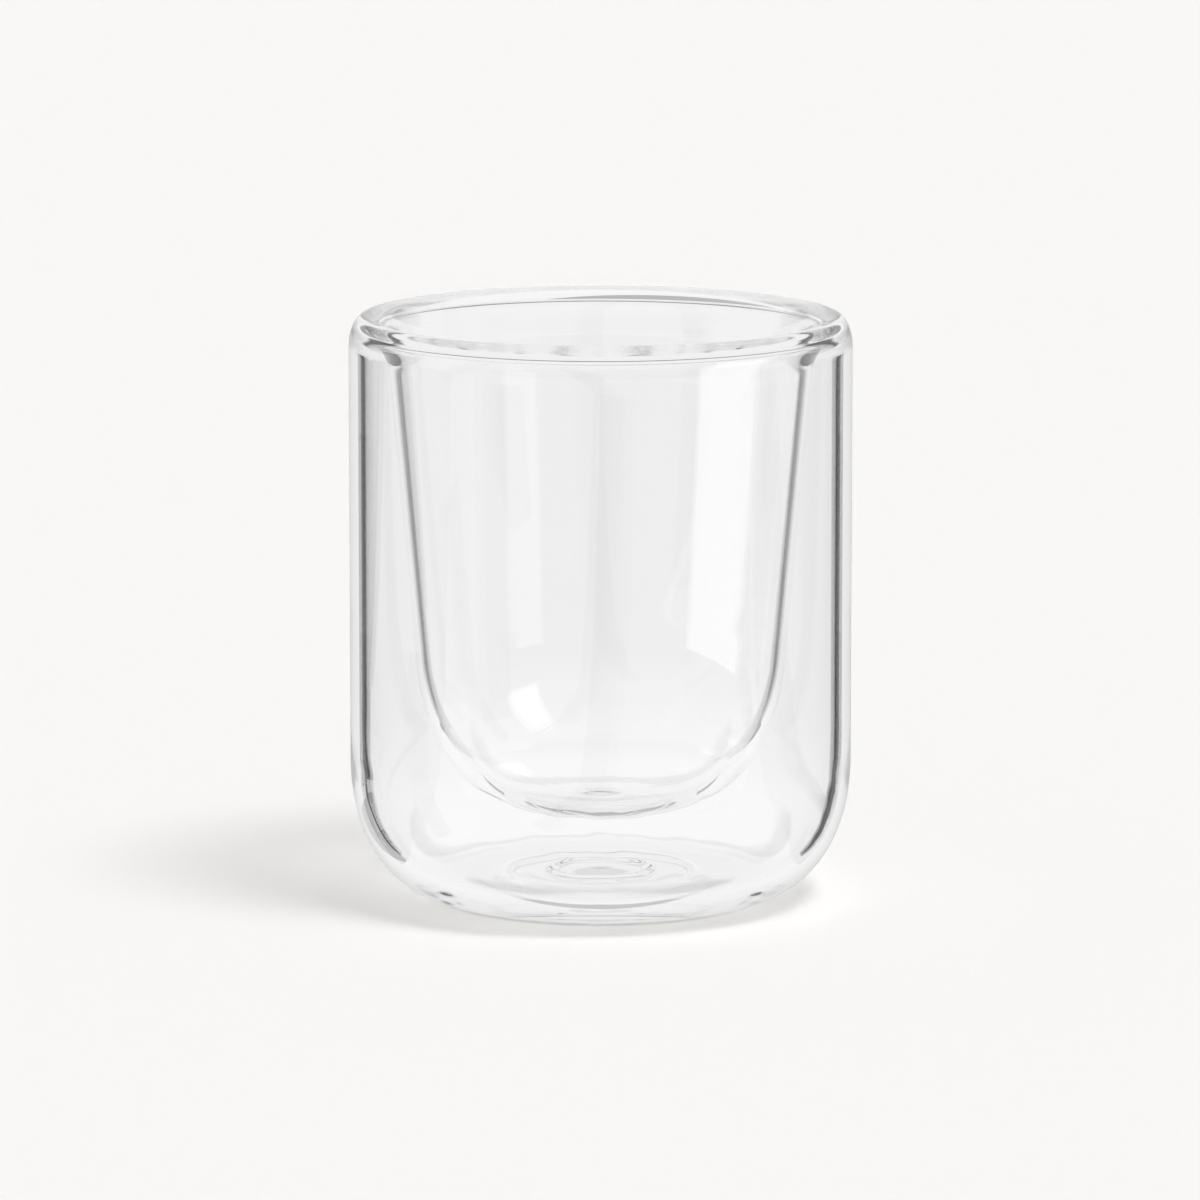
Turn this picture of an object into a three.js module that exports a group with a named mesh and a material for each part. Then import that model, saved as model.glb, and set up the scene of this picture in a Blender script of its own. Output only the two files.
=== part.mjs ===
// Double-walled coffee glass. An outer glass and an inner glass of blown borosilicate are melted
// together in one rounded rim, with still air between them. The air was let out through a vent in
// the base while the rim was welded, and a glass button closes that vent.
// Millimetres, +Z up. The origin is on the axis, level with the foot that the glass stands on.

import * as THREE from 'three';

// Overall size
const outerDiameter = 75;
const height = 87.7;

// Outer glass
const outerWall = 2.4;
const baseThickness = 3.2;
const footDiameter = 42.8;
const footWidth = 4;
const heelHeight = 21.2;
const heelFullness = 2.16;
const cavityFloorDiameter = 43.5;
const cavityHeelHeight = 20.1;
const cavityHeelFullness = 2.36;

// Pushed-up middle of the base, which keeps the vent button off the table
const pushUpHeight = 1;
const pushUpSlope = 7;

// Vent through the base, and the button that closes it
const ventDiameter = 12;
const ventLipWidth = 2.6;
const ventLipHeight = 0.5;
const ventClearance = 0.3;
const buttonDiameter = 17;
const buttonTableGap = 0.3;
const buttonCrown = 0.3;

// Inner glass
const innerWall = 1.7;
const innerFloor = 1.8;
const airGapBelow = 9.45;
const airGapAtRim = 3.55;
const innerTaper = 0.0871;
const bowlHeight = 24.15;
const bowlSideFullness = 2.11;
const bowlFloorFullness = 3.6;
const pontilMarkDiameter = 7.8;
const pontilMarkHeight = 0.3;

// Welded rim
const rimHeight = 7.6;
const rimThickness = 2.2;
const rimApexInset = 2.4;
const shoulderHeight = 4.6;
const flareHeight = 7;
const archOuterHeight = 2.8;
const archInnerHeight = 4.4;

// Faces round the axis, and steps along each rounded stretch of a profile
const segments = 64;
const longSteps = 10;
const shortSteps = 6;
const tinySteps = 3;

// Radii and levels that more than one piece shares
const outerRadius = outerDiameter / 2;
const cavityRadius = outerRadius - outerWall;
const seatLevel = height - rimHeight;
const bowlLevel = baseThickness + airGapBelow;
const bowlTopLevel = bowlLevel + bowlHeight;
const innerSeatRadius = cavityRadius - airGapAtRim;
const ventRadius = ventDiameter / 2;

// Outside radius of the inner glass on its tapered stretch, continued to any level
function taperRadius(level) {
  return innerSeatRadius - innerTaper * (seatLevel - level);
}

function point(radius, level) {
  return new THREE.Vector2(radius, level);
}

// Quarter of a superellipse between two points, tangent there to the sides that meet at the corner.
// The two fullness values are its exponents along those sides: 2 is an ellipse and more is squarer.
function roundedCorner(from, corner, to, steps, fullnessFrom = 2, fullnessTo = fullnessFrom) {
  const points = [from];
  for (let step = 1; step < steps; step++) {
    const angle = (step / steps) * (Math.PI / 2);
    const alongFrom = 1 - Math.sin(angle) ** (2 / fullnessFrom);
    const alongTo = 1 - Math.cos(angle) ** (2 / fullnessTo);
    const next = corner.clone();
    next.addScaledVector(from.clone().sub(corner), alongFrom);
    next.addScaledVector(to.clone().sub(corner), alongTo);
    points.push(next);
  }
  points.push(to);
  return points;
}

function clearGlass() {
  return new THREE.MeshStandardMaterial({
    color: 0xf1f3f2,
    roughness: 0.02,
    metalness: 0,
    transparent: true,
    opacity: 0.35,
  });
}

// Turns a profile of radius and level round the vertical axis
function revolve(name, profile) {
  const geometry = new THREE.LatheGeometry(profile, segments);
  geometry.rotateX(Math.PI / 2);
  const mesh = new THREE.Mesh(geometry, clearGlass());
  mesh.name = name;
  return mesh;
}

// Outer glass: straight wall, soft heel, flat foot ring, pushed-up base and lipped vent hole
function outerGlass() {
  const footRadius = footDiameter / 2;
  const footInnerRadius = footRadius - footWidth;
  const ceilingRadius = footInnerRadius - pushUpSlope;
  const midSlopeRadius = footInnerRadius - pushUpSlope / 2;
  const midSlope = point(midSlopeRadius, pushUpHeight / 2);
  const cavityFloorRadius = cavityFloorDiameter / 2;
  const lipRadius = ventRadius + ventLipWidth;
  const lipMiddle = ventRadius + ventLipWidth / 2;
  const lipTop = baseThickness + ventLipHeight;
  const ventEdge = point(ventRadius, pushUpHeight);
  const profile = [
    ventEdge,
    ...roundedCorner(
      point(ceilingRadius, pushUpHeight), point(midSlopeRadius, pushUpHeight), midSlope, tinySteps),
    ...roundedCorner(
      midSlope, point(midSlopeRadius, 0), point(footInnerRadius, 0), tinySteps).slice(1),
    ...roundedCorner(
      point(footRadius, 0), point(outerRadius, 0), point(outerRadius, heelHeight),
      longSteps, heelFullness),
    point(outerRadius, seatLevel),
    point(cavityRadius, seatLevel),
    ...roundedCorner(
      point(cavityRadius, baseThickness + cavityHeelHeight), point(cavityRadius, baseThickness),
      point(cavityFloorRadius, baseThickness), longSteps, cavityHeelFullness),
    ...roundedCorner(
      point(lipRadius, baseThickness), point(lipRadius, lipTop), point(lipMiddle, lipTop), tinySteps),
    ...roundedCorner(
      point(lipMiddle, lipTop), point(ventRadius, lipTop), point(ventRadius, baseThickness),
      tinySteps).slice(1),
    ventEdge.clone(),
  ];
  return revolve('outer_glass', profile);
}

// Inner glass: tapered cup with a full bowl, and the small mark left at the middle of its floor
function innerGlass() {
  const floorLevel = bowlLevel + innerFloor;
  const outside = roundedCorner(
    point(0, bowlLevel), point(taperRadius(bowlLevel), bowlLevel),
    point(taperRadius(bowlTopLevel), bowlTopLevel), longSteps, bowlFloorFullness, bowlSideFullness);
  const inside = roundedCorner(
    point(taperRadius(bowlTopLevel) - innerWall, bowlTopLevel),
    point(taperRadius(floorLevel) - innerWall, floorLevel),
    point(0, floorLevel), longSteps, bowlSideFullness, bowlFloorFullness);
  const markRadius = pontilMarkDiameter / 2;
  const markTop = floorLevel + pontilMarkHeight;
  const profile = [
    ...outside,
    point(innerSeatRadius, seatLevel),
    point(innerSeatRadius - innerWall, seatLevel),
    ...inside.slice(0, -1),
    ...roundedCorner(
      point(markRadius, floorLevel), point(markRadius, markTop), point(0, markTop), tinySteps),
  ];
  return revolve('inner_glass', profile);
}

// Welded rim: rounded shoulder, flare into the cup, and an arched underside that closes the air gap
function rimWeld() {
  const apexRadius = outerRadius - rimApexInset;
  const apex = point(apexRadius, height);
  const flareLevel = height - flareHeight;
  const archLevel = height - rimThickness;
  const archMiddle = point(cavityRadius - airGapAtRim / 2, archLevel);
  const archInnerLevel = archLevel - archInnerHeight;
  const archOuterLevel = archLevel - archOuterHeight;
  const start = point(outerRadius, seatLevel);
  const profile = [
    start,
    ...roundedCorner(
      point(outerRadius, height - shoulderHeight), point(outerRadius, height), apex, shortSteps),
    ...roundedCorner(
      apex, point(taperRadius(height) - innerWall, height),
      point(taperRadius(flareLevel) - innerWall, flareLevel), shortSteps).slice(1),
    point(innerSeatRadius - innerWall, seatLevel),
    point(innerSeatRadius, seatLevel),
    ...roundedCorner(
      point(taperRadius(archInnerLevel), archInnerLevel), point(taperRadius(archLevel), archLevel),
      archMiddle, shortSteps),
    ...roundedCorner(
      archMiddle, point(cavityRadius, archLevel), point(cavityRadius, archOuterLevel),
      shortSteps).slice(1),
    point(cavityRadius, seatLevel),
    start.clone(),
  ];
  return revolve('rim_weld', profile);
}

// Vent button: a stem that fills the vent, and a flange that seats against the pushed-up base
function ventButton() {
  const flangeRadius = buttonDiameter / 2;
  const flangeThickness = pushUpHeight - buttonTableGap;
  const stemRadius = ventRadius - ventClearance;
  const crownTop = baseThickness + buttonCrown;
  const profile = [
    point(0, buttonTableGap),
    ...roundedCorner(
      point(flangeRadius - flangeThickness, buttonTableGap), point(flangeRadius, buttonTableGap),
      point(flangeRadius, pushUpHeight), tinySteps),
    point(stemRadius, pushUpHeight),
    ...roundedCorner(
      point(stemRadius, baseThickness), point(stemRadius, crownTop), point(0, crownTop), tinySteps),
  ];
  return revolve('vent_button', profile);
}

const glass = new THREE.Group();
glass.add(outerGlass(), innerGlass(), rimWeld(), ventButton());

export default glass;
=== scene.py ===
"""Looks of a double-walled coffee glass: four pieces of clear blown glass, welded at the rim."""

import math

import bpy
import numpy as np
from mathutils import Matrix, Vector


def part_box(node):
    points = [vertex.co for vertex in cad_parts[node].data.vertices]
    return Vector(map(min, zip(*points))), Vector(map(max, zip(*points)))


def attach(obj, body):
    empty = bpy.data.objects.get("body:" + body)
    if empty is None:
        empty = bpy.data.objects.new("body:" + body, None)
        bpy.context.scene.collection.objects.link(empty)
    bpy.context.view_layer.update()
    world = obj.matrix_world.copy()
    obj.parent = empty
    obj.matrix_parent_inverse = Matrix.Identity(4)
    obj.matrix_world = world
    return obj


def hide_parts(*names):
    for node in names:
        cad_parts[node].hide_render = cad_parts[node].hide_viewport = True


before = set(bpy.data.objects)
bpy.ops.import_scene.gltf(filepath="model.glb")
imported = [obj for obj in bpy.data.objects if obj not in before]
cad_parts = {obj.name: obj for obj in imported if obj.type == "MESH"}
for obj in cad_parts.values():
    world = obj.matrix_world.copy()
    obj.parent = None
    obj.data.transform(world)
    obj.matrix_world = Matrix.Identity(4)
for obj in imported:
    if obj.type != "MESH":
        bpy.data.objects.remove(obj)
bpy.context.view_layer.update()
scene = bpy.context.scene

# Sizes that the frame gives, in metres
outer_low, outer_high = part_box("outer_glass")
inner_low, inner_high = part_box("inner_glass")
rim_low, rim_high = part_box("rim_weld")
button_low, button_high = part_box("vent_button")
OUTER_RADIUS = outer_high.x
HEIGHT = rim_high.z
SEAT_LEVEL = outer_high.z
INNER_SEAT_RADIUS = inner_high.x
BOWL_LEVEL = inner_low.z
BUTTON_RADIUS = button_high.x
BUTTON_LEVEL = button_low.z

# Sizes that the frame's boxes do not show, in metres
MM = 0.001
OUTER_WALL = 2.4 * MM
BASE_THICKNESS = 3.2 * MM
FOOT_RADIUS = 21.4 * MM
FOOT_WIDTH = 4 * MM
HEEL_HEIGHT = 21.2 * MM
HEEL_FULLNESS = 2.16
CAVITY_FLOOR_RADIUS = 21.75 * MM
CAVITY_HEEL_HEIGHT = 20.1 * MM
CAVITY_HEEL_FULLNESS = 2.36
PUSH_UP_HEIGHT = 1 * MM
PUSH_UP_SLOPE = 7 * MM
VENT_RADIUS = 6 * MM
VENT_LIP_WIDTH = 2.6 * MM
VENT_LIP_HEIGHT = 0.5 * MM
BUTTON_CROWN = 0.3 * MM
INNER_WALL = 1.7 * MM
INNER_FLOOR = 1.8 * MM
INNER_TAPER = 0.0871
BOWL_HEIGHT = 24.15 * MM
BOWL_SIDE_FULLNESS = 2.11
BOWL_FLOOR_FULLNESS = 3.6
PONTIL_MARK_RADIUS = 3.9 * MM
PONTIL_MARK_HEIGHT = 0.3 * MM
RIM_THICKNESS = 2.2 * MM
RIM_APEX_INSET = 2.4 * MM
SHOULDER_HEIGHT = 4.6 * MM
FLARE_HEIGHT = 7 * MM
ARCH_OUTER_HEIGHT = 2.8 * MM
ARCH_INNER_HEIGHT = 4.4 * MM
CAVITY_RADIUS = OUTER_RADIUS - OUTER_WALL

# Faces round the axis, and rows along the stretches of a profile
SEGMENTS = 384
LONG_ROWS = 48
MIDDLE_ROWS = 24
SHORT_ROWS = 10
SHARP_ANGLE = math.radians(50)

# Ripple that blowing leaves where the glass was worked: waves round the axis, their height in metres,
# and their slant in radians for each millimetre of radius and of height
RIPPLES = ((6, 0.010 * MM, 0.25, 0.2), (19, 0.004 * MM, 0.9, 0.7), (43, 0.0025 * MM, 1.7, 1.3))
WORKED_BELOW = (20 * MM, 34 * MM)
CALM_FLOOR = (1 * MM, 6 * MM)
CALM_BASE = (20 * MM, 30 * MM)

# Where the photograph shows the glass, in pixels of its square frame
FRAME_PX = 1200
WALL_HALF_WIDTH_PX = 250.8
AXIS_X_PX = 600.6
AIM_HEIGHT = 44.7 * MM
CAMERA_ELEVATION = math.radians(9.41)
CAMERA_DISTANCE = 1.2164
CAMERA_REACH = 100
SENSOR_WIDTH = 36


def linear(hex_colour):
    """sRGB hex such as F7F6F4 to linear red, green, blue and an alpha of 1."""
    parts = np.array([int(hex_colour[i:i + 2], 16) / 255 for i in (0, 2, 4)])
    low = parts / 12.92
    high = ((parts + 0.055) / 1.055) ** 2.4
    return (*np.where(parts <= 0.04045, low, high).tolist(), 1.0)


def add_node(tree, kind, settings=None, links=None):
    """Adds a node; settings go to its properties, sockets or ramp stops, links to its input sockets."""
    node = tree.nodes.new(kind)
    for name, value in (settings or {}).items():
        if name == "stops":
            ramp = node.color_ramp
            ramp.elements.remove(ramp.elements[1])
            ramp.elements[0].color = (value[0][1],) * 3 + (1,)
            for position, level in value[1:]:
                ramp.elements.new(position).color = (level,) * 3 + (1,)
        elif hasattr(node, str(name)):
            setattr(node, name, value)
        else:
            node.inputs[name].default_value = value
    for name, socket in (links or {}).items():
        tree.links.new(socket, node.inputs[name])
    return node


# Profiles: rows of radius and height


def straight(start, end, rows):
    """Evenly spaced rows from start towards end, without the end itself."""
    share = np.arange(rows)[:, None] / rows
    return np.array(start) * (1 - share) + np.array(end) * share


def rounded_corner(start, corner, end, rows, fullness=2.0, fullness_end=None):
    """Quarter of a superellipse from start towards end, without the end itself.

    corner + (start - corner)(1 - sin(t)^(2/p)) + (end - corner)(1 - cos(t)^(2/q)), with t from zero to
    a right angle: it is tangent to both sides of the corner, and p and q say how square it is.
    """
    turn = np.arange(rows)[:, None] / rows * (math.pi / 2)
    along_start = 1 - np.sin(turn) ** (2 / fullness)
    along_end = 1 - np.cos(turn) ** (2 / (fullness_end or fullness))
    start, corner, end = np.array(start), np.array(corner), np.array(end)
    return corner + (start - corner) * along_start + (end - corner) * along_end


def ring_ridge(outer, inner, level, height, rows):
    """A smooth ridge crossed from the outer radius inwards: level + height (1 - cos(2 pi s)) / 2."""
    share = np.arange(rows) / rows
    radius = outer + (inner - outer) * share
    return np.stack([radius, level + height * (1 - np.cos(2 * math.pi * share)) / 2], axis=1)


def low_dome(radius, level, height, rows):
    """A smooth rise from the radius to the axis: level + height (1 - (r / radius)^2)^2."""
    share = np.linspace(1, 0, rows)
    return np.stack([radius * share, level + height * (1 - share ** 2) ** 2], axis=1)


def taper_radius(level):
    """Outside radius of the inner glass where it tapers, continued to any level."""
    return INNER_SEAT_RADIUS - INNER_TAPER * (SEAT_LEVEL - level)


def smooth_step(low, high, value):
    """Zero up to low, one from high, and 3 s^2 - 2 s^3 between them."""
    share = np.clip((value - low) / (high - low), 0, 1)
    return share ** 2 * (3 - 2 * share)


def blown_ripple(radius, level, angle, calm):
    """Sum of slanted waves, height sin(count a + p r + q z), where the glass was worked in the flame.

    It fades to nothing on the drawn walls and, between the two calm radii, towards the axis.
    """
    worked = 1 - smooth_step(*WORKED_BELOW, level)
    waves = 0
    for count, height, by_radius, by_level in RIPPLES:
        waves = waves + height * np.sin(count * angle + by_radius * radius / MM + by_level * level / MM)
    return waves * worked * smooth_step(*calm, radius)


def piece_from_profile(name, stretches, materials, closed, calm=CALM_BASE):
    """Turns a profile round the z axis into a closed mesh: x = r cos a, y = r sin a, z = height.

    The ripple w of the blown glass moves both, to r + w and z + w. stretches is a list of (rows,
    material index). A closed profile joins its last row to its first; an open one starts and ends on
    the axis, where the grid closes in a fan.
    """
    rows = np.concatenate([points for points, _ in stretches])
    slots = np.concatenate([np.full(len(points), slot) for points, slot in stretches])
    angle = np.arange(SEGMENTS) * (2 * math.pi / SEGMENTS)
    ring = rows if closed else rows[1:-1]
    ripple = blown_ripple(ring[:, :1], ring[:, 1:], angle, calm)
    radius = ring[:, :1] + ripple
    level = ring[:, 1:] + ripple
    grid = np.stack([radius * np.cos(angle), radius * np.sin(angle), level], axis=2)
    points = grid.reshape(-1, 3)

    last = len(ring) if closed else len(ring) - 1
    lower = np.arange(last)[:, None] * SEGMENTS
    upper = (np.arange(last)[:, None] + 1) % len(ring) * SEGMENTS
    here = np.arange(SEGMENTS)[None]
    there = (here + 1) % SEGMENTS
    quads = np.stack([lower + here, lower + there, upper + there, upper + here], axis=2).reshape(-1, 4)
    quad_slots = np.repeat(slots[:last] if closed else slots[1:last + 1], SEGMENTS)
    fans = np.zeros((0, 3), int)
    if not closed:
        first_pole, last_pole = len(points), len(points) + 1
        poles = np.array([[0, 0, rows[0, 1]], [0, 0, rows[-1, 1]]])
        points = np.concatenate([points, poles])
        top_row = (len(ring) - 1) * SEGMENTS
        flat = np.arange(SEGMENTS)
        after = (flat + 1) % SEGMENTS
        start_fan = np.stack([np.full(SEGMENTS, first_pole), after, flat], axis=1)
        end_fan = np.stack([top_row + flat, top_row + after, np.full(SEGMENTS, last_pole)], axis=1)
        fans = np.concatenate([start_fan, end_fan])

    mesh = bpy.data.meshes.new(name)
    mesh.from_pydata(points.tolist(), [], quads.tolist() + fans.tolist())
    indices = np.concatenate([quad_slots, np.zeros(len(fans), int)])
    for material in materials:
        mesh.materials.append(material)
    mesh.polygons.foreach_set("material_index", indices.astype(np.int32))
    mesh.polygons.foreach_set("use_smooth", np.ones(len(indices), bool))
    mesh.set_sharp_from_angle(angle=SHARP_ANGLE)
    mesh.update()
    piece = bpy.data.objects.new(name, mesh)
    scene.collection.objects.link(piece)
    return piece


# Materials


def empty_material(name):
    """A new material with an empty node tree, and that tree."""
    material = bpy.data.materials.new(name)
    material.use_nodes = True
    material.node_tree.nodes.clear()
    return material, material.node_tree


def borosilicate_glass():
    """Borosilicate glass, blown and fire polished: clear and colourless, with a sharp bright gloss."""
    material, tree = empty_material("borosilicate_glass")
    surface = add_node(tree, "ShaderNodeBsdfPrincipled", {
        "Base Color": linear("FFFFFF"),
        "Roughness": 0.0,
        "IOR": 1.47,
        "Transmission Weight": 1.0,
    })
    add_node(tree, "ShaderNodeOutputMaterial", links={"Surface": surface.outputs[0]})
    return material


def melted_seam():
    """The melted joint between two pieces: the glass runs on through it, so nothing shows."""
    material, tree = empty_material("melted_seam")
    surface = add_node(tree, "ShaderNodeBsdfTransparent")
    add_node(tree, "ShaderNodeOutputMaterial", links={"Surface": surface.outputs[0]})
    return material


CLEAR, SEAM = 0, 1
glass_materials = [borosilicate_glass(), melted_seam()]


# Pieces of the glass


def outer_glass():
    """Outer glass: pushed-up base round the vent, foot ring, heel, straight wall, and back down inside."""
    foot_inner = FOOT_RADIUS - FOOT_WIDTH
    ceiling = foot_inner - PUSH_UP_SLOPE
    slope_middle = foot_inner - PUSH_UP_SLOPE / 2
    half_way = (slope_middle, PUSH_UP_HEIGHT / 2)
    lip = VENT_RADIUS + VENT_LIP_WIDTH
    cavity_heel_top = BASE_THICKNESS + CAVITY_HEEL_HEIGHT
    stretches = [
        (straight((VENT_RADIUS, PUSH_UP_HEIGHT), (BUTTON_RADIUS, PUSH_UP_HEIGHT), 2), SEAM),
        (straight((BUTTON_RADIUS, PUSH_UP_HEIGHT), (ceiling, PUSH_UP_HEIGHT), 4), CLEAR),
        (rounded_corner((ceiling, PUSH_UP_HEIGHT), (slope_middle, PUSH_UP_HEIGHT), half_way,
                        SHORT_ROWS), CLEAR),
        (rounded_corner(half_way, (slope_middle, 0), (foot_inner, 0), SHORT_ROWS), CLEAR),
        (straight((foot_inner, 0), (FOOT_RADIUS, 0), 4), CLEAR),
        (rounded_corner((FOOT_RADIUS, 0), (OUTER_RADIUS, 0), (OUTER_RADIUS, HEEL_HEIGHT),
                        LONG_ROWS, HEEL_FULLNESS), CLEAR),
        (straight((OUTER_RADIUS, HEEL_HEIGHT), (OUTER_RADIUS, SEAT_LEVEL), MIDDLE_ROWS), CLEAR),
        (straight((OUTER_RADIUS, SEAT_LEVEL), (CAVITY_RADIUS, SEAT_LEVEL), 1), SEAM),
        (straight((CAVITY_RADIUS, SEAT_LEVEL), (CAVITY_RADIUS, cavity_heel_top), MIDDLE_ROWS), CLEAR),
        (rounded_corner((CAVITY_RADIUS, cavity_heel_top), (CAVITY_RADIUS, BASE_THICKNESS),
                        (CAVITY_FLOOR_RADIUS, BASE_THICKNESS), LONG_ROWS, CAVITY_HEEL_FULLNESS), CLEAR),
        (straight((CAVITY_FLOOR_RADIUS, BASE_THICKNESS), (lip, BASE_THICKNESS), SHORT_ROWS), CLEAR),
        (ring_ridge(lip, VENT_RADIUS, BASE_THICKNESS, VENT_LIP_HEIGHT, MIDDLE_ROWS), CLEAR),
        (straight((VENT_RADIUS, BASE_THICKNESS), (VENT_RADIUS, PUSH_UP_HEIGHT), 1), SEAM),
    ]
    return piece_from_profile("clear_outer_glass", stretches, glass_materials, closed=True)


def inner_glass():
    """Inner glass: full bowl and tapered side, up outside and down inside, with the mark on its floor."""
    floor = BOWL_LEVEL + INNER_FLOOR
    top = BOWL_LEVEL + BOWL_HEIGHT
    inside_seat = INNER_SEAT_RADIUS - INNER_WALL
    outside_bowl = rounded_corner(
        (taper_radius(top), top), (taper_radius(BOWL_LEVEL), BOWL_LEVEL), (0, BOWL_LEVEL),
        LONG_ROWS, BOWL_SIDE_FULLNESS, BOWL_FLOOR_FULLNESS)
    inside_bowl = rounded_corner(
        (taper_radius(top) - INNER_WALL, top), (taper_radius(floor) - INNER_WALL, floor), (0, floor),
        LONG_ROWS, BOWL_SIDE_FULLNESS, BOWL_FLOOR_FULLNESS)
    inside_bowl = inside_bowl[inside_bowl[:, 0] > 1.5 * PONTIL_MARK_RADIUS]
    stretches = [
        (np.array([[0, BOWL_LEVEL]]), CLEAR),
        (outside_bowl[:0:-1], CLEAR),
        (straight((taper_radius(top), top), (INNER_SEAT_RADIUS, SEAT_LEVEL), MIDDLE_ROWS), CLEAR),
        (straight((INNER_SEAT_RADIUS, SEAT_LEVEL), (inside_seat, SEAT_LEVEL), 1), SEAM),
        (straight((inside_seat, SEAT_LEVEL), (taper_radius(top) - INNER_WALL, top), MIDDLE_ROWS), CLEAR),
        (inside_bowl, CLEAR),
        (low_dome(PONTIL_MARK_RADIUS, floor, PONTIL_MARK_HEIGHT, MIDDLE_ROWS), CLEAR),
    ]
    return piece_from_profile(
        "clear_inner_glass", stretches, glass_materials, closed=False, calm=CALM_FLOOR)


def rim_weld():
    """Welded rim: shoulder, flare into the cup, and the arch that closes the air gap from above."""
    apex = (OUTER_RADIUS - RIM_APEX_INSET, HEIGHT)
    shoulder = HEIGHT - SHOULDER_HEIGHT
    flare = HEIGHT - FLARE_HEIGHT
    arch = HEIGHT - RIM_THICKNESS
    arch_middle = ((CAVITY_RADIUS + INNER_SEAT_RADIUS) / 2, arch)
    arch_inner = arch - ARCH_INNER_HEIGHT
    arch_outer = arch - ARCH_OUTER_HEIGHT
    flare_foot = (taper_radius(flare) - INNER_WALL, flare)
    inside_seat = INNER_SEAT_RADIUS - INNER_WALL
    stretches = [
        (straight((OUTER_RADIUS, SEAT_LEVEL), (OUTER_RADIUS, shoulder), 4), CLEAR),
        (rounded_corner((OUTER_RADIUS, shoulder), (OUTER_RADIUS, HEIGHT), apex, MIDDLE_ROWS), CLEAR),
        (rounded_corner(apex, (taper_radius(HEIGHT) - INNER_WALL, HEIGHT), flare_foot,
                        MIDDLE_ROWS), CLEAR),
        (straight(flare_foot, (inside_seat, SEAT_LEVEL), 2), CLEAR),
        (straight((inside_seat, SEAT_LEVEL), (INNER_SEAT_RADIUS, SEAT_LEVEL), 1), SEAM),
        (straight((INNER_SEAT_RADIUS, SEAT_LEVEL), (taper_radius(arch_inner), arch_inner), 2), CLEAR),
        (rounded_corner((taper_radius(arch_inner), arch_inner), (taper_radius(arch), arch),
                        arch_middle, MIDDLE_ROWS), CLEAR),
        (rounded_corner(arch_middle, (CAVITY_RADIUS, arch), (CAVITY_RADIUS, arch_outer),
                        MIDDLE_ROWS), CLEAR),
        (straight((CAVITY_RADIUS, arch_outer), (CAVITY_RADIUS, SEAT_LEVEL), 4), CLEAR),
        (straight((CAVITY_RADIUS, SEAT_LEVEL), (OUTER_RADIUS, SEAT_LEVEL), 1), SEAM),
    ]
    return piece_from_profile("clear_rim_weld", stretches, glass_materials, closed=True)


def vent_button():
    """Vent button: flange under the base, stem that fills the vent, and a low crown in the cavity."""
    edge = PUSH_UP_HEIGHT - BUTTON_LEVEL
    stretches = [
        (np.array([[0, BUTTON_LEVEL]]), CLEAR),
        (straight((BUTTON_RADIUS / 4, BUTTON_LEVEL), (BUTTON_RADIUS - edge, BUTTON_LEVEL), 4), CLEAR),
        (rounded_corner((BUTTON_RADIUS - edge, BUTTON_LEVEL), (BUTTON_RADIUS, BUTTON_LEVEL),
                        (BUTTON_RADIUS, PUSH_UP_HEIGHT), SHORT_ROWS), CLEAR),
        (straight((BUTTON_RADIUS, PUSH_UP_HEIGHT), (VENT_RADIUS, PUSH_UP_HEIGHT), 2), SEAM),
        (straight((VENT_RADIUS, PUSH_UP_HEIGHT), (VENT_RADIUS, BASE_THICKNESS), 1), SEAM),
        (low_dome(VENT_RADIUS, BASE_THICKNESS, BUTTON_CROWN, MIDDLE_ROWS), CLEAR),
    ]
    return piece_from_profile("clear_vent_button", stretches, glass_materials, closed=False)


pieces = {
    "outer_glass": outer_glass(),
    "inner_glass": inner_glass(),
    "rim_weld": rim_weld(),
    "vent_button": vent_button(),
}
for node, piece in pieces.items():
    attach(piece, "root")
    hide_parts(node)


# Stage: floor, cards and light

FLOOR_HALF = 14.0
FLOOR_DROP = 0.05 * MM
FLOOR_COLOUR = "F7F6F4"
FLOOR_IN_GLOSS = 0.62

# Tones by distance from the axis: the floor as glass shows it, with painted shade under the glass and
# painted light round it, and a painted contact shadow, a ring of shade on the matt floor round the foot
RAMP_REACH = 0.2
PAINTED_FLOOR_LIGHT_IN_GLASS = ((0, 0.88), (20 * MM, 0.88), (32 * MM, 0.97), (70 * MM, 0.97), (160 * MM, 0.9))
PAINTED_CONTACT_SHADOW = ((0, 1.0), (21.8 * MM, 1.0), (22.7 * MM, 0.55), (23.3 * MM, 0.7), (25 * MM, 1.0))

# Glass faces that light crosses, from the eye to a card: a wall has two, and each side of the glass four
FACES_CROSSED = {"gloss": 0.0, "outer wall": 2.0, "cup wall": 6.0}
FACES_OF_WALL = 2.0
FACES_OF_SIDE = 4.0
FACES_OF_GLASS = 8.0
HALF = 0.5


def seen_in_glass(tree, path):
    """One for what the eye sees in or through glass or gloss, zero for light on its way to the floor."""
    sharp = add_node(tree, "ShaderNodeMath", {"operation": "MAXIMUM"}, {
        0: path.outputs["Is Glossy Ray"], 1: path.outputs["Is Transmission Ray"]})
    from_camera = add_node(tree, "ShaderNodeMath", {"operation": "LESS_THAN", 1: HALF}, {
        0: path.outputs["Diffuse Depth"]})
    in_glass = add_node(tree, "ShaderNodeMath", {"operation": "MULTIPLY"}, {
        0: sharp.outputs[0], 1: from_camera.outputs[0]})
    return in_glass.outputs[0]


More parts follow.
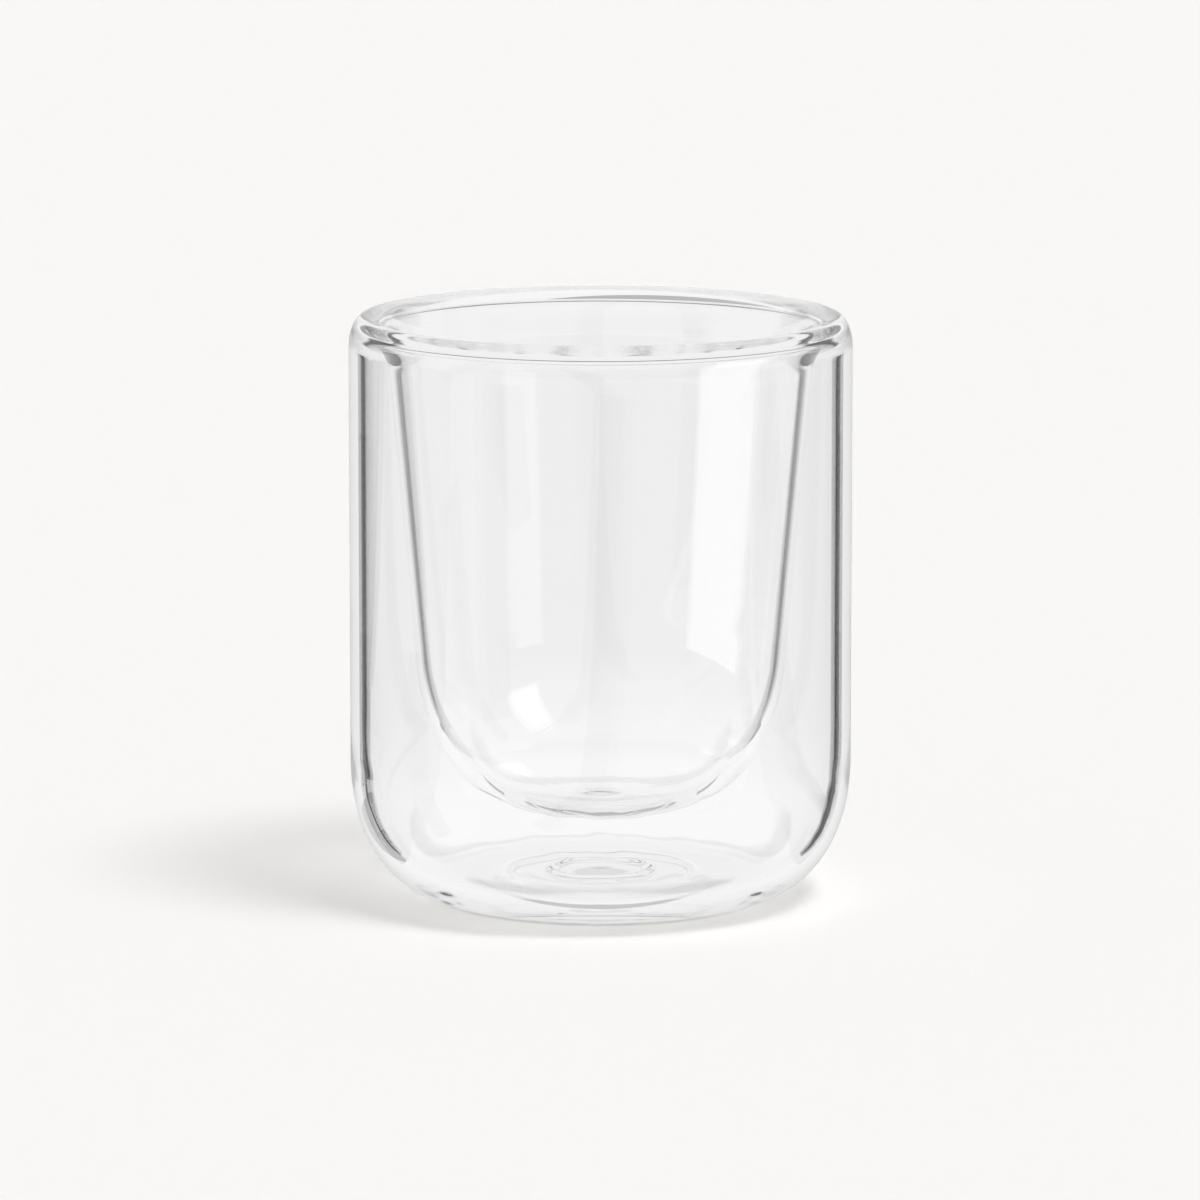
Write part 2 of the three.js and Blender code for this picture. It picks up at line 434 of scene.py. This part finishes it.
def pale_floor():
    """Matt pale floor with the glass's own soft shadow on it and a painted contact shadow round the foot;
    gloss shows it as an even tone, glass as a glowing tone with painted shade under the glass and painted
    light round it.
    """
    material, tree = empty_material("pale_floor")
    path = add_node(tree, "ShaderNodeLightPath")
    place = add_node(tree, "ShaderNodeTexCoord")
    distance = add_node(tree, "ShaderNodeVectorMath", {"operation": "LENGTH"}, {0: place.outputs["Object"]})
    reach = add_node(tree, "ShaderNodeMath", {"operation": "DIVIDE", 1: RAMP_REACH}, {
        0: distance.outputs["Value"]})
    # Painted light and shade: for glass the floor glows, darker under the glass and brighter in a ring round
    # it
    painted_light_through_glass = add_node(tree, "ShaderNodeValToRGB", {
        "stops": [(radius / RAMP_REACH, level) for radius, level in PAINTED_FLOOR_LIGHT_IN_GLASS]}, {0: reach.outputs[0]})
    # Painted contact shadow: a dark ring painted into the floor's colour just outside the foot
    painted_contact_shade = add_node(tree, "ShaderNodeValToRGB", {
        "stops": [(radius / RAMP_REACH, level) for radius, level in PAINTED_CONTACT_SHADOW]}, {0: reach.outputs[0]})
    tone = add_node(tree, "ShaderNodeMix", {"data_type": "FLOAT", 2: FLOOR_IN_GLOSS}, {
        0: path.outputs["Is Transmission Ray"], 3: painted_light_through_glass.outputs[0]})
    even = add_node(tree, "ShaderNodeEmission", {"Color": (1, 1, 1, 1)}, {"Strength": tone.outputs[0]})
    # The floor's colour, darkened by the painted contact shadow ring
    colour = add_node(tree, "ShaderNodeMix", {
        "data_type": "RGBA", 6: (0, 0, 0, 1), 7: linear(FLOOR_COLOUR)}, {0: painted_contact_shade.outputs[0]})
    matt = add_node(tree, "ShaderNodeBsdfDiffuse", links={"Color": colour.outputs[2]})
    surface = add_node(tree, "ShaderNodeMixShader", links={
        0: seen_in_glass(tree, path), 1: matt.outputs[0], 2: even.outputs[0]})
    add_node(tree, "ShaderNodeOutputMaterial", links={"Surface": surface.outputs[0]})
    return material


def flat_card(name, corners, material):
    """A flat four-sided card from its corners, in order."""
    mesh = bpy.data.meshes.new(name)
    mesh.from_pydata([tuple(corner) for corner in corners], [], [(0, 1, 2, 3)])
    mesh.materials.append(material)
    card = bpy.data.objects.new(name, mesh)
    scene.collection.objects.link(card)
    return card


def card_material(name, tone, crossings):
    """Even card that only glass shows, by the faces that light has crossed on its way from the eye.

    wall is a run inside any one wall, and mirrored cup is a reflection that has crossed the whole glass.
    """
    material, tree = empty_material(name)
    path = add_node(tree, "ShaderNodeLightPath")
    crossed = path.outputs["Transmission Depth"]
    if crossings in FACES_CROSSED:
        seen = add_node(tree, "ShaderNodeMath", {
            "operation": "COMPARE", 1: FACES_CROSSED[crossings], 2: HALF}, {0: crossed})
    elif crossings == "wall":
        rest = add_node(tree, "ShaderNodeMath", {"operation": "MODULO", 1: FACES_OF_SIDE}, {0: crossed})
        seen = add_node(tree, "ShaderNodeMath", {"operation": "COMPARE", 1: FACES_OF_WALL, 2: HALF}, {
            0: rest.outputs[0]})
    else:
        through = add_node(tree, "ShaderNodeMath", {"operation": "GREATER_THAN", 1: FACES_OF_GLASS - HALF}, {
            0: crossed})
        mirrored = add_node(tree, "ShaderNodeMath", {"operation": "GREATER_THAN", 1: HALF}, {
            0: path.outputs["Glossy Depth"]})
        seen = add_node(tree, "ShaderNodeMath", {"operation": "MULTIPLY"}, {
            0: through.outputs[0], 1: mirrored.outputs[0]})
    first = add_node(tree, "ShaderNodeMath", {"operation": "LESS_THAN", 1: HALF}, {
        0: path.outputs["Diffuse Depth"]})
    shown = add_node(tree, "ShaderNodeMath", {"operation": "MULTIPLY"}, {
        0: seen.outputs[0], 1: first.outputs[0]})
    glow = add_node(tree, "ShaderNodeEmission", {"Color": (1, 1, 1, 1), "Strength": tone})
    clear = add_node(tree, "ShaderNodeBsdfTransparent")
    surface = add_node(tree, "ShaderNodeMixShader", links={
        0: shown.outputs[0], 1: clear.outputs[0], 2: glow.outputs[0]})
    add_node(tree, "ShaderNodeOutputMaterial", links={"Surface": surface.outputs[0]})
    return material


def studio_card(name, corners, tone, crossings):
    """A card of the studio that lights nothing and shows in glass only."""
    card = flat_card(name, corners, card_material(name, tone, crossings))
    card.visible_camera = False
    card.visible_shadow = False
    card.visible_diffuse = False
    return card


def soft_box(name, azimuth, distance, width, height, lift, tone):
    """An upright lit card that faces the axis; azimuth 0 is behind the glass and plus is to the right."""
    turn = math.radians(azimuth)
    middle = Vector((math.sin(turn), math.cos(turn), 0)) * distance
    side = Vector((math.cos(turn), -math.sin(turn), 0)) * (width / 2)
    low = Vector((0, 0, lift))
    high = Vector((0, 0, lift + height))
    corners = [middle - side + low, middle + side + low, middle + side + high, middle - side + high]
    return studio_card(name, corners, tone, "mirrored cup")


def floor_strip(name, azimuth, sign, fan, reach, tone, crossings="wall"):
    """A strip on the floor beside a sight line, fanned out from where the light of an edge leaves.

    azimuth is where the view is from, sign is minus for the strip on its left, fan is the strip's two
    angles off the sight line in degrees, and reach is where it starts and ends.
    """
    turn = math.radians(-azimuth)
    right = Vector((math.cos(turn), -math.sin(turn), 0))
    ahead = Vector((math.sin(turn), math.cos(turn), 0))
    leaving = right * (sign * EDGE_ASIDE) - ahead * EDGE_BEFORE
    lift = Vector((0, 0, STRIP_LIFT))

    def corner_at(angle, distance):
        slant = math.radians(sign * angle)
        return leaving + (right * math.sin(slant) + ahead * math.cos(slant)) * distance + lift

    near, far = fan
    start, end = reach
    corners = [corner_at(near, start), corner_at(near, end), corner_at(far, end), corner_at(far, start)]
    return studio_card(name, corners, tone, crossings)


def floor_lozenge(name, half_width, tips, front, back, tone, crossings):
    """A long lozenge on the floor across the axis: the y of its two tips, its front and its back."""
    corners = [Vector((-half_width, tips, STRIP_LIFT)), Vector((0, front, STRIP_LIFT)),
               Vector((half_width, tips, STRIP_LIFT)), Vector((0, back, STRIP_LIFT))]
    return studio_card(name, corners, tone, crossings)


flat_card("floor", [(x * FLOOR_HALF, y * FLOOR_HALF, -FLOOR_DROP)
                    for x, y in ((-1, -1), (1, -1), (1, 1), (-1, 1))], pale_floor())

# Dark strips that draw the walls' edges, with their reach for each side that the glass is looked at from
DARK = 0.02
GREY = 0.45
DARK_FAN = (30.5, 42)
GREY_FAN = (26, 30.5)
EDGE_ASIDE = 35 * MM
EDGE_BEFORE = 11 * MM
STRIP_LIFT = 0.02 * MM
SIDES = {"left": -1, "right": 1}
STRIP_REACH = {0: (0.008, 9), 45: (0.03, 0.25), 90: (0.2, 9), 225: (0.045, 0.6)}
BEHIND_GLASS = (45, "right")
for azimuth, reach in STRIP_REACH.items():
    for hand, sign in SIDES.items():
        if (azimuth, hand) == BEHIND_GLASS:
            floor_strip(f"dark_strip_{hand}_{azimuth}", azimuth, sign, DARK_FAN, reach, GREY)
        else:
            floor_strip(f"dark_strip_{hand}_{azimuth}", azimuth, sign, DARK_FAN, reach, DARK)
            floor_strip(f"grey_strip_{hand}_{azimuth}", azimuth, sign, GREY_FAN, reach, GREY)

# Strips for the photograph's side alone: the bowl's edges, the gloss on the walls, the left heel,
# the bottom of the bowl and the front of the heel
BOWL_FAN = (23, 30.5)
BOWL_REACH = (0.02, 0.07)
GLOSS_FAN = (33, 110)
GLOSS_REACH = (0.004, 1.2)
HEEL_FAN = (14, 30.5)
HEEL_REACH = (0.005, 0.06)
for hand, sign in SIDES.items():
    floor_strip(f"bowl_strip_{hand}", 0, sign, BOWL_FAN, BOWL_REACH, 0.1, "cup wall")
    floor_strip(f"gloss_fan_{hand}", 0, sign, GLOSS_FAN, GLOSS_REACH, DARK, "gloss")
floor_strip("left_heel_strip", 0, SIDES["left"], HEEL_FAN, HEEL_REACH, 0.55, "outer wall")
# Painted shade: a dark lozenge on the floor under the bowl, shown only through the cup wall, stands in for
# the shade under the glass
floor_lozenge("painted_shade_under_bowl", half_width=35 * MM, tips=8 * MM, front=1 * MM, back=12 * MM,
              tone=0.25, crossings="cup wall")
floor_lozenge("front_heel", half_width=30 * MM, tips=-25 * MM, front=-27.5 * MM, back=-25.8 * MM,
              tone=0.55, crossings="outer wall")

# Soft boxes, mirrored in the cup
soft_box("left_softbox", azimuth=-92, distance=0.6, width=0.55, height=0.1, lift=0, tone=2.3)
soft_box("right_softbox", azimuth=129, distance=0.6, width=0.22, height=0.1, lift=0, tone=1.2)
soft_box("key_softbox", azimuth=116, distance=0.7, width=0.34, height=0.5, lift=0.33, tone=3.0)

# Light on the floor: an even sky and a soft key
SKY_SHARE = 0.7
KEY_SHARE = 1 - SKY_SHARE
KEY_ELEVATION = math.radians(64.5)
KEY_AZIMUTH = math.radians(51)
KEY_RADIUS = math.radians(9)
KEY_SOFTNESS = 0.25
BACKDROP_STRENGTH = 1.012

# Room that glass shows, by direction: a pale sweep with a dark band low at the back, and the front of
# the room, which brightens towards the ceiling
ROOM_TONE = 0.35
CEILING_TONE = 0.95
CEILING_RISE = (0.1, 0.5)
FRONT_FROM = (-0.2, -0.5)
SWEEP_TONE = 0.88
BACK_BAND = ((0, SWEEP_TONE), (0.25, SWEEP_TONE), (0.28, 0.03), (0.43, 0.03), (0.48, 0.92))
BAND_BEHIND = (0.5, 0.62)
BAND_ASIDE = (0.33, 0.41)
BAND_IN_BASE = 0.85


def studio_world():
    """Even soft light and a soft key for the floor, a room for glass and gloss, and a pale backdrop."""
    world = bpy.data.worlds.new("studio")
    scene.world = world
    world.use_nodes = True
    tree = world.node_tree
    tree.nodes.clear()
    path = add_node(tree, "ShaderNodeLightPath")
    direction = add_node(tree, "ShaderNodeTexCoord")
    axes = add_node(tree, "ShaderNodeSeparateXYZ", links={0: direction.outputs["Generated"]})

    towards_key = (math.sin(KEY_AZIMUTH) * math.cos(KEY_ELEVATION),
                   -math.cos(KEY_AZIMUTH) * math.cos(KEY_ELEVATION), math.sin(KEY_ELEVATION))
    nearness = add_node(tree, "ShaderNodeVectorMath", {"operation": "DOT_PRODUCT", 1: towards_key}, {
        0: direction.outputs["Generated"]})
    key_area = 2 * math.pi * (1 - math.cos(KEY_RADIUS))
    key_tone = KEY_SHARE * math.pi / (key_area * math.sin(KEY_ELEVATION))
    light = add_node(tree, "ShaderNodeMapRange", {
        "interpolation_type": "SMOOTHSTEP", "From Min": math.cos(KEY_RADIUS * (1 + KEY_SOFTNESS)),
        "From Max": math.cos(KEY_RADIUS * (1 - KEY_SOFTNESS)),
        "To Min": SKY_SHARE, "To Max": SKY_SHARE + key_tone}, {"Value": nearness.outputs["Value"]})

    band = add_node(tree, "ShaderNodeValToRGB", {"stops": BACK_BAND}, {0: axes.outputs["Z"]})
    at_back = add_node(tree, "ShaderNodeMapRange", {
        "interpolation_type": "SMOOTHSTEP", "From Min": BAND_BEHIND[0], "From Max": BAND_BEHIND[1]}, {
        "Value": axes.outputs["Y"]})
    off_axis = add_node(tree, "ShaderNodeMath", {"operation": "ABSOLUTE"}, {0: axes.outputs["X"]})
    aside = add_node(tree, "ShaderNodeMapRange", {
        "interpolation_type": "SMOOTHSTEP", "From Min": BAND_ASIDE[0], "From Max": BAND_ASIDE[1]}, {
        "Value": off_axis.outputs[0]})
    past_wall = add_node(tree, "ShaderNodeMath", {"operation": "GREATER_THAN", 1: FACES_OF_WALL + HALF}, {
        0: path.outputs["Transmission Depth"]})
    in_base = add_node(tree, "ShaderNodeMath", {"operation": "MULTIPLY", 1: BAND_IN_BASE}, {
        0: past_wall.outputs[0]})
    wanted = add_node(tree, "ShaderNodeMath", {"operation": "MAXIMUM"}, {
        0: aside.outputs[0], 1: in_base.outputs[0]})
    in_band = add_node(tree, "ShaderNodeMath", {"operation": "MULTIPLY"}, {
        0: at_back.outputs[0], 1: wanted.outputs[0]})
    behind = add_node(tree, "ShaderNodeMix", {"data_type": "FLOAT", 2: SWEEP_TONE}, {
        0: in_band.outputs[0], 3: band.outputs[0]})

    front = add_node(tree, "ShaderNodeMapRange", {
        "interpolation_type": "SMOOTHSTEP", "From Min": CEILING_RISE[0], "From Max": CEILING_RISE[1],
        "To Min": ROOM_TONE, "To Max": CEILING_TONE}, {"Value": axes.outputs["Z"]})
    at_front = add_node(tree, "ShaderNodeMapRange", {
        "interpolation_type": "SMOOTHSTEP", "From Min": FRONT_FROM[0], "From Max": FRONT_FROM[1]}, {
        "Value": axes.outputs["Y"]})
    room = add_node(tree, "ShaderNodeMix", {"data_type": "FLOAT"}, {
        0: at_front.outputs[0], 2: behind.outputs[0], 3: front.outputs[0]})

    tone = add_node(tree, "ShaderNodeMix", {"data_type": "FLOAT"}, {
        0: seen_in_glass(tree, path), 2: light.outputs[0], 3: room.outputs[0]})
    sky = add_node(tree, "ShaderNodeBackground", {"Color": (1, 1, 1, 1)}, {"Strength": tone.outputs[0]})
    backdrop = add_node(tree, "ShaderNodeBackground", {
        "Color": linear(FLOOR_COLOUR), "Strength": BACKDROP_STRENGTH})
    shown = add_node(tree, "ShaderNodeMixShader", links={
        0: path.outputs["Is Camera Ray"], 1: sky.outputs[0], 2: backdrop.outputs[0]})
    add_node(tree, "ShaderNodeOutputWorld", links={"Surface": shown.outputs[0]})


def photo_camera():
    """A long lens a little above the rim, framed so that wall and foot fall where the photo has them."""
    to_wall_edge = math.sqrt(CAMERA_DISTANCE ** 2 - OUTER_RADIUS ** 2)
    focal_px = WALL_HALF_WIDTH_PX * to_wall_edge / OUTER_RADIUS
    lens = bpy.data.cameras.new("camera")
    lens.sensor_width = SENSOR_WIDTH
    lens.lens = lens.sensor_width * focal_px / FRAME_PX
    lens.clip_end = CAMERA_REACH
    camera = bpy.data.objects.new("camera", lens)
    scene.collection.objects.link(camera)
    aside = (FRAME_PX / 2 - AXIS_X_PX) * CAMERA_DISTANCE / focal_px
    aim = Vector((aside, 0, AIM_HEIGHT))
    back = Vector((0, -math.cos(CAMERA_ELEVATION), math.sin(CAMERA_ELEVATION)))
    camera.location = aim + back * CAMERA_DISTANCE
    camera.rotation_euler = back.to_track_quat("Z", "Y").to_euler()
    scene.camera = camera


studio_world()
photo_camera()

scene.view_settings.view_transform = "Standard"
scene.cycles.blur_glossy = 0.0
scene.cycles.caustics_reflective = False
LIGHT_BOUNCES = 128
scene.cycles.max_bounces = LIGHT_BOUNCES
scene.cycles.transmission_bounces = LIGHT_BOUNCES
scene.cycles.glossy_bounces = LIGHT_BOUNCES
scene.cycles.transparent_max_bounces = LIGHT_BOUNCES
